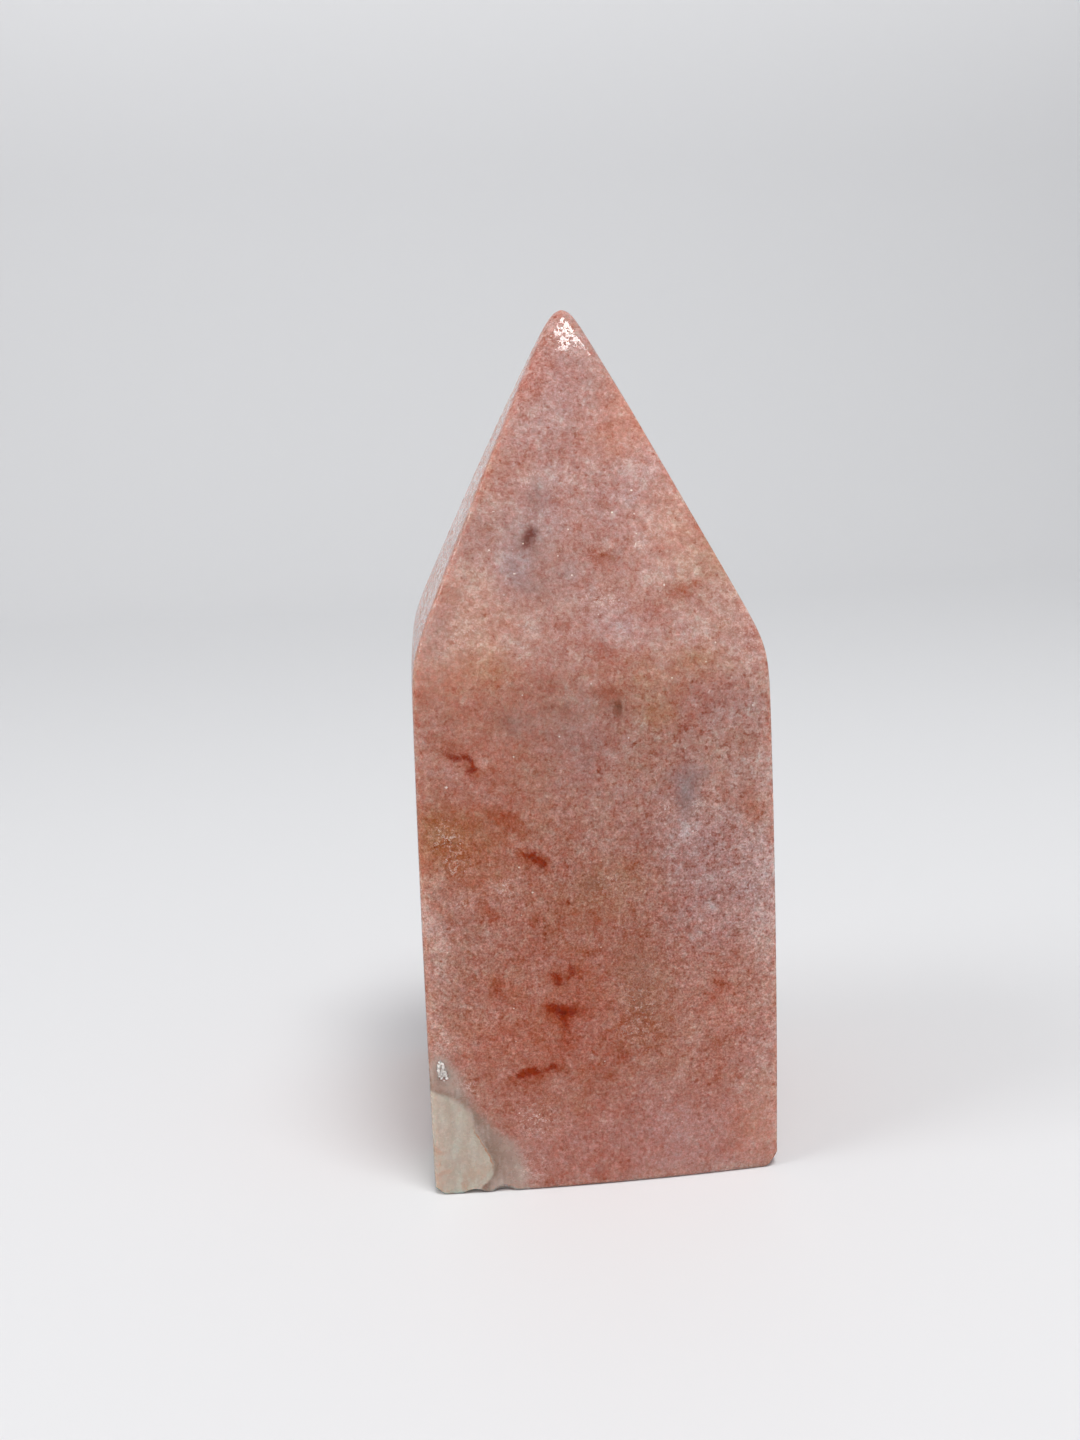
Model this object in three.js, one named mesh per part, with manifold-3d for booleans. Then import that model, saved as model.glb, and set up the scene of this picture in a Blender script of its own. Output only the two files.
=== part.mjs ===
// A pink amethyst tower: one piece of massive quartz, sawn square, ground to a point and polished.
// Millimetres, +Z up. The origin is the middle of the flat base, and the broad front face looks along -Y.

import * as THREE from "three";
import { mergeVertices } from "three/addons/utils/BufferGeometryUtils.js";
import Module from "manifold-3d";

const WIDTH = 40; // across the front at the base
const DEPTH = 38.4; // front to back at the base
const SHOULDER_HEIGHT = 61; // where the four shaft faces turn in to the point
const POINT_HEIGHT = 101.3; // where the four point faces would meet, before the tip is rounded
const POINT_X = 0.3; // the point stands a little off the middle of the base
const POINT_Y = 0.6;
const FRONT_SET_BACK = 0.2; // the front bulges the most, so its edges stand this much nearer the middle

// Polishing softens each kind of edge by its own amount, in the units of softMax below:
// a square edge is left with a radius of about 2.4 times this.
const EDGE_SOFTNESS = 0.3;
const SHOULDER_SOFTNESS = 0.5;
const TIP_SOFTNESS = 0.85;
const TIP_ZONE = 15; // the height of the point over which its edges grow rounder
const FOOT_RADIUS = 0.7; // round the edge of the base

// The four sides, ground by hand, so that no two are quite alike.
//   facing: the way the side looks, in degrees from +X   reach: from the origin to the side at the base
//   lean: how far the shaft face leans in, in degrees    bow: how far it bulges across its width
//   crown: how far it bulges along its height            shoulder: the height of its shoulder
//   skew: how far its point face is turned, in degrees   belly: how far that face bulges along its length
const FRONT = { facing: -90, reach: DEPTH / 2 - FRONT_SET_BACK, lean: 0.45, bow: 0.7, crown: 0.1 };
const RIGHT = { facing: 0, reach: WIDTH / 2, lean: 0.5, bow: 0.2, crown: 0.27 };
const BACK = { facing: 90, reach: DEPTH / 2 + FRONT_SET_BACK, lean: 0.5, bow: 0.3, crown: 0.15 };
const LEFT = { facing: 180, reach: WIDTH / 2, lean: 0.8, bow: 0.2, crown: 0.17 };
const SIDES = [
  { ...FRONT, shoulder: SHOULDER_HEIGHT - 1.3, skew: 0.45, belly: 0.3 },
  { ...RIGHT, shoulder: SHOULDER_HEIGHT + 0.8, skew: -0.1, belly: 0 },
  { ...BACK, shoulder: SHOULDER_HEIGHT, skew: -0.4, belly: 0.2 },
  { ...LEFT, shoulder: SHOULDER_HEIGHT + 1, skew: 0.3, belly: 0.33 },
];

// Shell-shaped chips and small pits, each bitten out by a ball: its middle and its radius.
const BITES = [
  { at: [-12.2, -20.6, -0.6], radius: 1.95 }, // under the grey quartz, on the front foot
  { at: [-15.6, -20.1, -1.7], radius: 2.4 },
  { at: [-20.9, -19.5, 14.6], radius: 1.3 }, // beside the sparkling pit, on the left edge
  { at: [-18.35, -19.6, 14.7], radius: 1.05 }, // the sparkling pit itself
  { at: [2.8, -20.0, 55.9], radius: 1.15 }, // a small pit under the shoulder
  { at: [20.6, -19.9, 11.9], radius: 1.25 }, // a nick in the right edge
  { at: [21.2, 8.5, -1.6], radius: 2.6 }, // the foot of the right side
  { at: [-6.0, 21.2, -1.4], radius: 2.5 }, // the foot of the back
  { at: [9.4, 20.4, -1.7], radius: 1.9 },
  { at: [-20.6, 20.1, 33.5], radius: 1.6 }, // the back left edge
  { at: [20.6, 19.8, 48.0], radius: 1.3 }, // the back right edge
  { at: [-20.6, 5.5, 40.4], radius: 1.4 }, // a pit in the left side
  { at: [5.2, 20.2, 27.3], radius: 1.2 }, // a pit in the back
];

// The foot's corners are worn: each corner while it was sharp, the way its worn face looks, and how deep.
const WORN_CORNERS = [
  { sharp: [20, -19.1, 0], looks: [0.72, -0.45, -0.53], depth: 1.05 },
  { sharp: [-20, -19.1, 0], looks: [-0.62, -0.5, -0.6], depth: 0.8 },
  { sharp: [20, 19.4, 0], looks: [0.55, 0.55, -0.62], depth: 1.2 },
];

const CORNER_BLOCK = 8; // larger than any worn corner

const STONE_COLOUR = "#b07868";

// The grid on which the surface is drawn. Its columns crowd towards the four upright edges,
// and its rows towards the foot, the shoulder and the tip.
const EDGE_STEPS = [0.3, 0.8, 1.5, 2.8]; // from each upright edge, along a side
const FACE_SHARES = [-0.7, -0.45, -0.22, 0, 0.22, 0.45, 0.7]; // of half a side, from its middle
const FOOT_ROWS = 4;
const SHAFT_ROWS = 8;
const SHOULDER_ROWS = 12;
const SHOULDER_BAND = 14; // the height that the shoulder rows share
const POINT_ROWS = 8;
const TIP_ROWS = 9;
const TIP_BAND = 7;

const radians = THREE.MathUtils.degToRad;

// The larger of several values, with the change from one to the next made smooth.
function softMax(values, softness) {
  const most = Math.max(...values);
  const sum = values.reduce((total, v) => total + Math.exp((v - most) / softness), 0);
  return most + softness * Math.log(sum);
}

// How far a point stands out of one side: its shaft face and its point face, joined by the soft shoulder.
function outsideSide(side, x, y, z) {
  const out = radians(side.facing);
  const outward = x * Math.cos(out) + y * Math.sin(out);
  const along = y * Math.cos(out) - x * Math.sin(out);
  const middle = SHOULDER_HEIGHT / 2;
  const bow = side.bow * (1 - (along / (WIDTH / 2)) ** 2);
  const crown = side.crown * (1 - ((z - middle) / middle) ** 2);
  const shaft = outward - (side.reach - z * Math.tan(radians(side.lean))) - bow - crown;

  const turned = radians(side.facing + side.skew);
  const [tx, ty] = [Math.cos(turned), Math.sin(turned)];
  const rise = POINT_HEIGHT - side.shoulder;
  const run = side.reach - side.shoulder * Math.tan(radians(side.lean)) - (POINT_X * tx + POINT_Y * ty);
  const slope = Math.atan2(run, rise);
  const share = THREE.MathUtils.clamp((POINT_HEIGHT - z) / rise, 0, 1);
  const belly = side.belly * 4 * share * (1 - share);
  const fromPoint = (x - POINT_X) * tx + (y - POINT_Y) * ty;
  const point = fromPoint * Math.cos(slope) + (z - POINT_HEIGHT) * Math.sin(slope) - belly;
  return softMax([shaft, point], SHOULDER_SOFTNESS);
}

// How far a point stands out of the whole stone, before it was chipped. Inside, it is negative.
function outsideStone(x, y, z) {
  const nearTip = THREE.MathUtils.smoothstep(z, POINT_HEIGHT - TIP_ZONE, POINT_HEIGHT);
  const softness = THREE.MathUtils.lerp(EDGE_SOFTNESS, TIP_SOFTNESS, nearTip);
  return softMax(SIDES.map((side) => outsideSide(side, x, y, z)), softness);
}

// The value between low and high where a rising function passes zero.
function crossing(rising, low, high) {
  for (let i = 0; i < 50; i += 1) {
    const middle = (low + high) / 2;
    if (rising(middle) < 0) low = middle;
    else high = middle;
  }
  return (low + high) / 2;
}

// The foot is rounded by drawing the surface in near the base, as a quarter circle does.
function drawnInAtFoot(z) {
  const below = Math.max(0, FOOT_RADIUS - z);
  return FOOT_RADIUS - Math.sqrt(FOOT_RADIUS ** 2 - below ** 2);
}

// The surface point at a height, in a direction from the upright line through the point.
function surfacePoint(z, direction) {
  const [dx, dy] = [Math.cos(direction), Math.sin(direction)];
  const reach = crossing((r) => outsideStone(POINT_X + r * dx, POINT_Y + r * dy, z), 0, WIDTH);
  const r = reach - drawnInAtFoot(z);
  return [POINT_X + r * dx, POINT_Y + r * dy, z];
}

// The directions of the columns, all round, from places along the four sides of the base.
function columnDirections() {
  const directions = [];
  for (const side of SIDES) {
    const half = side.facing % 180 === 0 ? DEPTH / 2 : WIDTH / 2;
    const places = FACE_SHARES.map((share) => share * half);
    for (const step of EDGE_STEPS) places.push(half - step, step - half);
    places.push(half);
    const out = radians(side.facing);
    for (const along of places) {
      const x = side.reach * Math.cos(out) - along * Math.sin(out);
      const y = side.reach * Math.sin(out) + along * Math.cos(out);
      const direction = Math.atan2(y - POINT_Y, x - POINT_X);
      directions.push(direction < 0 ? direction + 2 * Math.PI : direction);
    }
  }
  return directions.sort((a, b) => a - b);
}

// The heights of the rows, from the base to just under the tip.
function rowHeights(top) {
  const shoulderLow = SHOULDER_HEIGHT - SHOULDER_BAND / 2;
  const shoulderHigh = SHOULDER_HEIGHT + SHOULDER_BAND / 2;
  const heights = [];
  for (let i = 0; i < FOOT_ROWS; i += 1) {
    heights.push(FOOT_RADIUS * (1 - Math.cos((Math.PI / 2) * (i / FOOT_ROWS))));
  }
  const spread = (from, to, count) => {
    for (let i = 0; i < count; i += 1) heights.push(from + ((to - from) * i) / count);
  };
  spread(FOOT_RADIUS, shoulderLow, SHAFT_ROWS);
  spread(shoulderLow, shoulderHigh, SHOULDER_ROWS);
  spread(shoulderHigh, top - TIP_BAND, POINT_ROWS);
  for (let i = 0; i < TIP_ROWS; i += 1) {
    heights.push(top - TIP_BAND * (1 - i / TIP_ROWS) ** 2);
  }
  return heights;
}

// The whole polished form: rings of points, closed by one point under the base and one at the tip.
function polishedForm() {
  const overMiddle = (z) => outsideStone(POINT_X, POINT_Y, z);
  const top = crossing(overMiddle, POINT_HEIGHT - TIP_BAND, POINT_HEIGHT + TIP_BAND);
  const directions = columnDirections();
  const rows = rowHeights(top);
  const points = [];
  for (const z of rows) for (const direction of directions) points.push(...surfacePoint(z, direction));
  const columns = directions.length;
  const baseMiddle = rows.length * columns;
  const tip = baseMiddle + 1;
  points.push(POINT_X, POINT_Y, 0, POINT_X, POINT_Y, top);

  const triangles = [];
  for (let c = 0; c < columns; c += 1) {
    const next = (c + 1) % columns;
    for (let r = 0; r + 1 < rows.length; r += 1) {
      const [a, b] = [r * columns + c, r * columns + next];
      const [d, e] = [a + columns, b + columns];
      triangles.push(a, b, e, a, e, d);
    }
    const last = (rows.length - 1) * columns;
    triangles.push(baseMiddle, next, c, tip, last + c, last + next);
  }
  const geometry = new THREE.BufferGeometry();
  geometry.setAttribute("position", new THREE.Float32BufferAttribute(points, 3));
  geometry.setIndex(triangles);
  return geometry;
}

const wasm = await Module();
wasm.setup();

// A closed three.js geometry as a solid that can be cut.
function solidFrom(geometry) {
  const bare = geometry.clone();
  bare.deleteAttribute("normal");
  bare.deleteAttribute("uv");
  const merged = mergeVertices(bare, 1e-4);
  return new wasm.Manifold(
    new wasm.Mesh({
      numProp: 3,
      vertProperties: new Float32Array(merged.attributes.position.array),
      triVerts: new Uint32Array(merged.index.array),
    }),
  );
}

function geometryFrom(solid) {
  const mesh = solid.getMesh();
  const geometry = new THREE.BufferGeometry();
  geometry.setAttribute("position", new THREE.BufferAttribute(mesh.vertProperties, 3));
  geometry.setIndex(new THREE.BufferAttribute(mesh.triVerts, 1));
  geometry.computeVertexNormals();
  return geometry;
}

function ball({ at, radius }) {
  return new THREE.IcosahedronGeometry(radius, 5).translate(...at);
}

// A block whose near face is the worn face of a corner, and which takes off all beyond it.
function cornerBlock({ sharp, looks, depth }) {
  const toward = new THREE.Vector3(...looks).normalize();
  const turn = new THREE.Quaternion().setFromUnitVectors(new THREE.Vector3(0, 0, 1), toward);
  return new THREE.BoxGeometry(CORNER_BLOCK, CORNER_BLOCK, CORNER_BLOCK)
    .translate(0, 0, CORNER_BLOCK / 2 - depth)
    .applyQuaternion(turn)
    .translate(...sharp);
}

function chippedForm() {
  const cutters = [...BITES.map(ball), ...WORN_CORNERS.map(cornerBlock)];
  return cutters.reduce((stone, cutter) => stone.subtract(solidFrom(cutter)), solidFrom(polishedForm()));
}

const stone = new THREE.Mesh(
  geometryFrom(chippedForm()),
  new THREE.MeshStandardMaterial({ color: STONE_COLOUR, roughness: 0.25, metalness: 0 }),
);
stone.name = "amethyst_tower";

const tower = new THREE.Group();
tower.add(stone);

export default tower;
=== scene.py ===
import functools
import math

import bpy
import numpy as np
from mathutils import Matrix, Quaternion, Vector


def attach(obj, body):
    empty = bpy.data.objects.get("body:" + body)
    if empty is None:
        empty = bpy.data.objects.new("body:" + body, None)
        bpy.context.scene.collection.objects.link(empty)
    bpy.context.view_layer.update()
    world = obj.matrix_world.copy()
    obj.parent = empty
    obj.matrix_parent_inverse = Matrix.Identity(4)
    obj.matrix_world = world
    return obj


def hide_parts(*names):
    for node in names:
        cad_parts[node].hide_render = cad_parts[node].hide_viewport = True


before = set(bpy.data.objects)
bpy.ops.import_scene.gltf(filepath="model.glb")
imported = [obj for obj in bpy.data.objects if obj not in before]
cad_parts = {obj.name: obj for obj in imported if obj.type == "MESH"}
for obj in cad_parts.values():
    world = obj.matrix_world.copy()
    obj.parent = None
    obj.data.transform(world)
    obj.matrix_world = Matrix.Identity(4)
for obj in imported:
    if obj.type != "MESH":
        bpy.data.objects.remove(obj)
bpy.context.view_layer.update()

scene = bpy.context.scene

# The camera: a telephone held close in front of the tower, level with the top of it and tipped down,
# a little to the left of it and rolled to the left. Its places are in the tower's own frame.
MM = 0.001
FRAME_HEIGHT = 1440  # the photograph's long side, in pixels
FOCAL_LENGTH = 1300  # the lens, in the same pixels
SENSOR = 36.0
NEAREST_SEEN = 0.01
FARTHEST_SEEN = 10.0
CAMERA_PLACE = Vector((-17.1, -154.7, 82.9)) * MM
CAMERA_TURN = math.radians(-4.76)
CAMERA_TIP = math.radians(11.64)
CAMERA_ROLL = math.radians(2.38)

camera = bpy.data.objects.new("camera", bpy.data.cameras.new("camera"))
camera.data.lens = SENSOR * FOCAL_LENGTH / FRAME_HEIGHT
camera.data.sensor_width = SENSOR
camera.data.sensor_fit = "AUTO"
camera.data.clip_start = NEAREST_SEEN
camera.data.clip_end = FARTHEST_SEEN
level = Matrix.Rotation(math.pi / 2 - CAMERA_TIP, 4, "X")
rolled = Matrix.Rotation(-CAMERA_ROLL, 4, "Z")
camera.matrix_world = Matrix.Translation(CAMERA_PLACE) @ Matrix.Rotation(CAMERA_TURN, 4, "Z") @ level @ rolled
scene.collection.objects.link(camera)
scene.camera = camera
scene.view_settings.view_transform = "Standard"


# The floor and backdrop: one sheet of matt white paper, laid flat under the tower and swept up behind it.
# Matt paper shows no reflections, only the soft shadow at the tower's foot.
PAPER = "#E9E9EA"
PAPER_WIDTH = 3.0
PAPER_FRONT = -1.5
PAPER_BEND_START = 0.60
PAPER_BEND_RADIUS = 0.30
PAPER_BEND_STEPS = 24
PAPER_TOP = 1.4
PAPER_ROUGHNESS = 0.9
PAPER_SPECULAR = 0.1


def linear(hex_colour):
    """An sRGB hex colour as the linear red, green, blue and alpha that the shaders take."""
    parts = [int(hex_colour[i:i + 2], 16) / 255 for i in (1, 3, 5)]
    return [p / 12.92 if p <= 0.04045 else ((p + 0.055) / 1.055) ** 2.4 for p in parts] + [1.0]


def add(tree, kind, inputs=None, **settings):
    """Adds one node with its settings. An input is given a value, or a link from another node's output."""
    made = tree.nodes.new(kind)
    for name, value in settings.items():
        setattr(made, name, value)
    for key, value in (inputs or {}).items():
        if isinstance(value, bpy.types.NodeSocket):
            tree.links.new(value, made.inputs[key])
        else:
            made.inputs[key].default_value = value
    return made


def new_material(name):
    """An empty node material, as its tree and its output node."""
    material = bpy.data.materials.new(name)
    material.use_nodes = True
    material.node_tree.nodes.clear()
    return material, material.node_tree, material.node_tree.nodes.new("ShaderNodeOutputMaterial")


def paper_profile():
    """The sheet seen from the side: flat, then a quarter turn, then upright."""
    profile = [(PAPER_FRONT, 0.0), (PAPER_BEND_START, 0.0)]
    for step in range(1, PAPER_BEND_STEPS + 1):
        turn = step / PAPER_BEND_STEPS * math.pi / 2
        profile.append((PAPER_BEND_START + PAPER_BEND_RADIUS * math.sin(turn),
                        PAPER_BEND_RADIUS * (1 - math.cos(turn))))
    return profile + [(PAPER_BEND_START + PAPER_BEND_RADIUS, PAPER_TOP)]


profile = paper_profile()
corners = [(side * PAPER_WIDTH / 2, y, z) for y, z in profile for side in (-1, 1)]
strips = [(2 * i, 2 * i + 1, 2 * i + 3, 2 * i + 2) for i in range(len(profile) - 1)]
sheet = bpy.data.meshes.new("paper_sweep")
sheet.from_pydata(corners, [], strips)
sheet.shade_smooth()
paper = bpy.data.objects.new("paper_sweep", sheet)
scene.collection.objects.link(paper)
paper_finish, tree, output = new_material("matt_white_paper")
shader = add(tree, "ShaderNodeBsdfPrincipled", {"Base Color": linear(PAPER), "Roughness": PAPER_ROUGHNESS})
shader.inputs["Specular IOR Level"].default_value = PAPER_SPECULAR
tree.links.new(shader.outputs[0], output.inputs["Surface"])
sheet.materials.append(paper_finish)
paper.visible_glossy = False  # the polish mirrors the dimmer room, not the sheet


# The light: an even white fill from all round, and soft boxes. A square one hangs over the tower and in front
# of it, turned cornerwise, so that its corner shows in the polished tip. The one at the left gives the glare
# down the left of the point, a faint one fills in from the right, and a strip brightens the paper behind.
ROOM_LIGHT = "#F4F6FA"
ROOM_STRENGTH = 0.39
LOW_ROOM_STRENGTH = 0.08  # the room below the table is darker, which the polish on the upright sides mirrors
BACK_STRENGTH = 0.45  # how much brighter the mirrored backdrop is
LOW_TO_HIGH = (-0.25, -0.02)  # the height in a direction of length 1 where dark turns to light
FRONT_TO_BACK = (0.7, 0.95)  # and how far it points to the back where the backdrop begins
SOFT_BOXES = {  # centre and size in metres, where it looks, its turn in degrees and its power in watts
    "soft_box_over": ((0.122, -0.293, 0.885), (0.344, 0.344), (0.122, -0.293, 0.0), 45, 5.0),
    "soft_box_right": ((0.80, -0.45, 0.52), (0.6, 0.6), (0, 0, 0.04), 0, 0.25),
    "soft_box_left": ((-0.80, -0.20, 0.80), (0.42, 0.60), (0, 0, 0.08), 0, 2.9),
    "soft_box_wall": ((-0.15, 0.72, 0.62), (2, 0.2), (-0.15, 0.90, 0.40), 0, 1.4),
}

room = bpy.data.worlds.new("room")
scene.world = room
room.use_nodes = True
tree = room.node_tree
tree.nodes.clear()
toward = add(tree, "ShaderNodeSeparateXYZ", {"Vector": add(tree, "ShaderNodeTexCoord").outputs["Generated"]})
around = add(tree, "ShaderNodeMapRange", {
    "Value": toward.outputs["Z"], "From Min": LOW_TO_HIGH[0], "From Max": LOW_TO_HIGH[1],
    "To Min": LOW_ROOM_STRENGTH, "To Max": ROOM_STRENGTH}).outputs[0]
behind = add(tree, "ShaderNodeMapRange", {
    "Value": toward.outputs["Y"], "From Min": FRONT_TO_BACK[0], "From Max": FRONT_TO_BACK[1],
    "To Max": BACK_STRENGTH}).outputs[0]
strength = add(tree, "ShaderNodeMath", {0: around, 1: behind}).outputs[0]
glow = add(tree, "ShaderNodeBackground", {"Color": linear(ROOM_LIGHT), "Strength": strength})
add(tree, "ShaderNodeOutputWorld", {"Surface": glow.outputs[0]})
for name, (centre, size, target, turn, watts) in SOFT_BOXES.items():
    box = bpy.data.objects.new(name, bpy.data.lights.new(name, "AREA"))
    box.data.shape = "RECTANGLE"
    box.data.size, box.data.size_y = size
    box.data.energy = watts
    box.visible_camera = False
    box.location = centre
    aim = (Vector(target) - Vector(centre)).to_track_quat("-Z", "Y")
    box.rotation_euler = (aim @ Quaternion((0, 0, 1), math.radians(turn))).to_euler()
    scene.collection.objects.link(box)


# The stone: one piece of massive pink amethyst, sawn square, ground by hand to a four-sided point and tumbled
# to a polish. Its form is worked out from the four sides, as in the solid, in millimetres, and then chipped.
WIDTH = 40.0
DEPTH = 38.4
SHOULDER_HEIGHT = 61.0
POINT_HEIGHT = 101.3
POINT_X = 0.3
POINT_Y = 0.6
FRONT_SET_BACK = 0.2
EDGE_SOFTNESS = 0.3
SHOULDER_SOFTNESS = 0.5
TIP_SOFTNESS = 0.85
TIP_ZONE = 15.0
FOOT_RADIUS = 0.45
SKIN_INSET = 0.002  # keeps this finer skin within the solid, which is made of larger triangles
# Angles are in degrees. Bow, crown and belly are how far a face swells across, upwards and on the point.
SIDES = {
    "front": dict(facing=-90, reach=DEPTH / 2 - FRONT_SET_BACK, lean=0.45, bow=0.7, crown=0.1,
                  shoulder=SHOULDER_HEIGHT - 1.3, skew=0.45, belly=0.3),
    "right": dict(facing=0, reach=WIDTH / 2, lean=0.5, bow=0.2, crown=0.27,
                  shoulder=SHOULDER_HEIGHT + 0.8, skew=-0.1, belly=0.0),
    "back": dict(facing=90, reach=DEPTH / 2 + FRONT_SET_BACK, lean=0.5, bow=0.3, crown=0.15,
                 shoulder=SHOULDER_HEIGHT, skew=-0.4, belly=0.2),
    "left": dict(facing=180, reach=WIDTH / 2, lean=0.8, bow=0.2, crown=0.17,
                 shoulder=SHOULDER_HEIGHT + 1, skew=0.3, belly=0.33),
}
BITES = [  # chips and pits, each bitten out by a ball: its middle and its radius
    ((-12.2, -20.6, -0.6), 1.95), ((-15.6, -20.1, -1.7), 2.4),  # two notches under the grey quartz
    ((-20.9, -19.5, 14.6), 1.3), ((-18.4, -19.8, 14.7), 1.0),  # the hollow that the druse lines
    ((2.75, -20.25, 55.7), 1.15), ((20.6, -19.9, 11.9), 1.25),  # the vug, and a nick in the right edge
    ((21.2, 8.5, -1.6), 2.6), ((-6, 21.2, -1.4), 2.5), ((9.4, 20.4, -1.7), 1.9),  # at the hidden foot
    ((-20.6, 20.1, 33.5), 1.6), ((20.6, 19.8, 48.0), 1.3),  # in the hidden edges and sides
    ((-20.6, 5.5, 40.4), 1.4), ((5.2, 20.2, 27.3), 1.2),
]
WORN_CORNERS = [  # each corner while it was sharp, the way its worn face looks, and how deep it is worn
    ((20, -19.1, 0), (0.72, -0.45, -0.53), 1.05), ((-20, -19.1, 0), (-0.62, -0.5, -0.6), 0.8),
    ((20, 19.4, 0), (0.55, 0.55, -0.62), 1.2),
]
GRAZING = 0.05  # a direction that meets a worn face flatter than this passes it by
HALVINGS = 40  # in the search for a surface
EDGE_BAND, EDGE_STEP = 1.2, 0.14  # the rounded upright edges, and the spacing of the points on them
FRONT_STEP, SIDE_STEP, ROW_STEP = 0.5, 0.8, 0.55  # the spacing elsewhere
FRONT_DETAIL = [(-WIDTH / 2, -16.8, 0.2), (-16.8, -2.5, 0.27), (1.9, 3.7, 0.2)]  # from, to, and the spacing
ROW_DETAIL = [(0, 1, 0.1), (12.4, 17.2, 0.2), (17.2, 28, 0.27), (38, 42, 0.27), (49, 54, 0.27),
              (54.9, 56.9, 0.2), (93.5, 97, 0.3), (97, POINT_HEIGHT, 0.12)]
TIP_GAP = 0.02  # from the highest row of points up to the very tip


def soft_max(values, softness):
    """The larger of several fields, with the change from one to the next made smooth."""
    most = np.maximum.reduce(values)
    return most + softness * np.log(sum(np.exp((v - most) / softness) for v in values))


def smooth_step(value, low, high):
    share = np.clip((value - low) / (high - low), 0, 1.0)
    return share * share * (3 - 2 * share)


def outside_side(side, x, y, z):
    """How far points stand out of one side: its shaft face and its point face, softly joined."""
    out = math.radians(side["facing"])
    lean = math.tan(math.radians(side["lean"]))
    outward = x * math.cos(out) + y * math.sin(out)
    along = y * math.cos(out) - x * math.sin(out)
    middle = SHOULDER_HEIGHT / 2
    bow = side["bow"] * (1 - (along / (WIDTH / 2)) ** 2)
    crown = side["crown"] * (1 - ((z - middle) / middle) ** 2)
    shaft = outward - (side["reach"] - z * lean) - bow - crown
    turned = math.radians(side["facing"] + side["skew"])
    tx, ty = math.cos(turned), math.sin(turned)
    rise = POINT_HEIGHT - side["shoulder"]
    run = side["reach"] - side["shoulder"] * lean - (POINT_X * tx + POINT_Y * ty)
    slope = math.atan2(run, rise)
    share = np.clip((POINT_HEIGHT - z) / rise, 0, 1)
    belly = side["belly"] * 4 * share * (1 - share)
    from_point = (x - POINT_X) * tx + (y - POINT_Y) * ty
    point = from_point * math.cos(slope) + (z - POINT_HEIGHT) * math.sin(slope) - belly
    return soft_max([shaft, point], SHOULDER_SOFTNESS)


def outside_stone(x, y, z):
    """How far points stand out of the whole stone, before it was chipped."""
    near_tip = smooth_step(z, POINT_HEIGHT - TIP_ZONE, POINT_HEIGHT)
    softness = EDGE_SOFTNESS + (TIP_SOFTNESS - EDGE_SOFTNESS) * near_tip
    return soft_max([outside_side(side, x, y, z) for side in SIDES.values()], softness)


def crossing(rising, low, high):
    """Where rising fields pass zero, between low and high."""
    for _ in range(HALVINGS):
        middle = (low + high) / 2
        below = rising(middle) < 0
        low, high = np.where(below, middle, low), np.where(below, high, middle)
    return (low + high) / 2


def bitten(reach, x, y, z, direction):
    """Shortens the reach along each direction to where it first meets a bite or a worn corner."""
    dx, dy = np.cos(direction), np.sin(direction)
    for (bx, by, bz), radius in BITES:
        ahead = (bx - x) * dx + (by - y) * dy
        aside = (bx - x) ** 2 + (by - y) ** 2 + (bz - z) ** 2 - ahead ** 2
        entry = ahead - np.sqrt(np.maximum(radius ** 2 - aside, 0))
        reach = np.where((aside < radius ** 2) & (ahead > 0), np.minimum(reach, entry), reach)
    for sharp, looks, depth in WORN_CORNERS:
        looks = Vector(looks).normalized()
        face = Vector(sharp).dot(looks) - depth
        toward = dx * looks.x + dy * looks.y
        meets = (face - (x * looks.x + y * looks.y + z * looks.z)) / np.where(toward > GRAZING, toward, 1)
        reach = np.where(toward > GRAZING, np.minimum(reach, meets), reach)
    return reach


def graded(low, high, step, finer):
    """Places from low to high, in even steps that are finer in the stretches asked for."""
    places = [low]
    while places[-1] < high:
        places.append(places[-1] + min([s for a, b, s in finer if a <= places[-1] < b], default=step))
    places[-1] = high
    return places


def on_side(name, along, height):
    """The surface point of a side, at a place along it and a height, in millimetres."""
    out = math.radians(SIDES[name]["facing"])
    dx, dy = math.cos(out), math.sin(out)
    reach = float(crossing(lambda r: outside_stone(r * dx - along * dy, r * dy + along * dx, height),
                           np.array(0.0), np.array(WIDTH)))
    return np.array([reach * dx - along * dy, reach * dy + along * dx, height])


columns = []
for name, side in SIDES.items():
    half = (WIDTH if name in ("front", "back") else DEPTH) / 2
    finer = [(-half, -half + EDGE_BAND, EDGE_STEP), (half - EDGE_BAND, half, EDGE_STEP)]
    finer += FRONT_DETAIL if name == "front" else []
    step = FRONT_STEP if name == "front" else SIDE_STEP
    out = math.radians(side["facing"])
    for along in graded(-half, half, step, finer)[:-1]:
        x = side["reach"] * math.cos(out) - along * math.sin(out)
        y = side["reach"] * math.sin(out) + along * math.cos(out)
        columns.append(math.atan2(y - POINT_Y, x - POINT_X) % (2 * math.pi))
columns = np.array(sorted(columns))
top = float(crossing(lambda z: outside_stone(POINT_X, POINT_Y, z),
                     np.array(POINT_HEIGHT - TIP_ZONE), np.array(POINT_HEIGHT)))
rows = np.array(graded(0, top - TIP_GAP, ROW_STEP, ROW_DETAIL))

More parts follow.
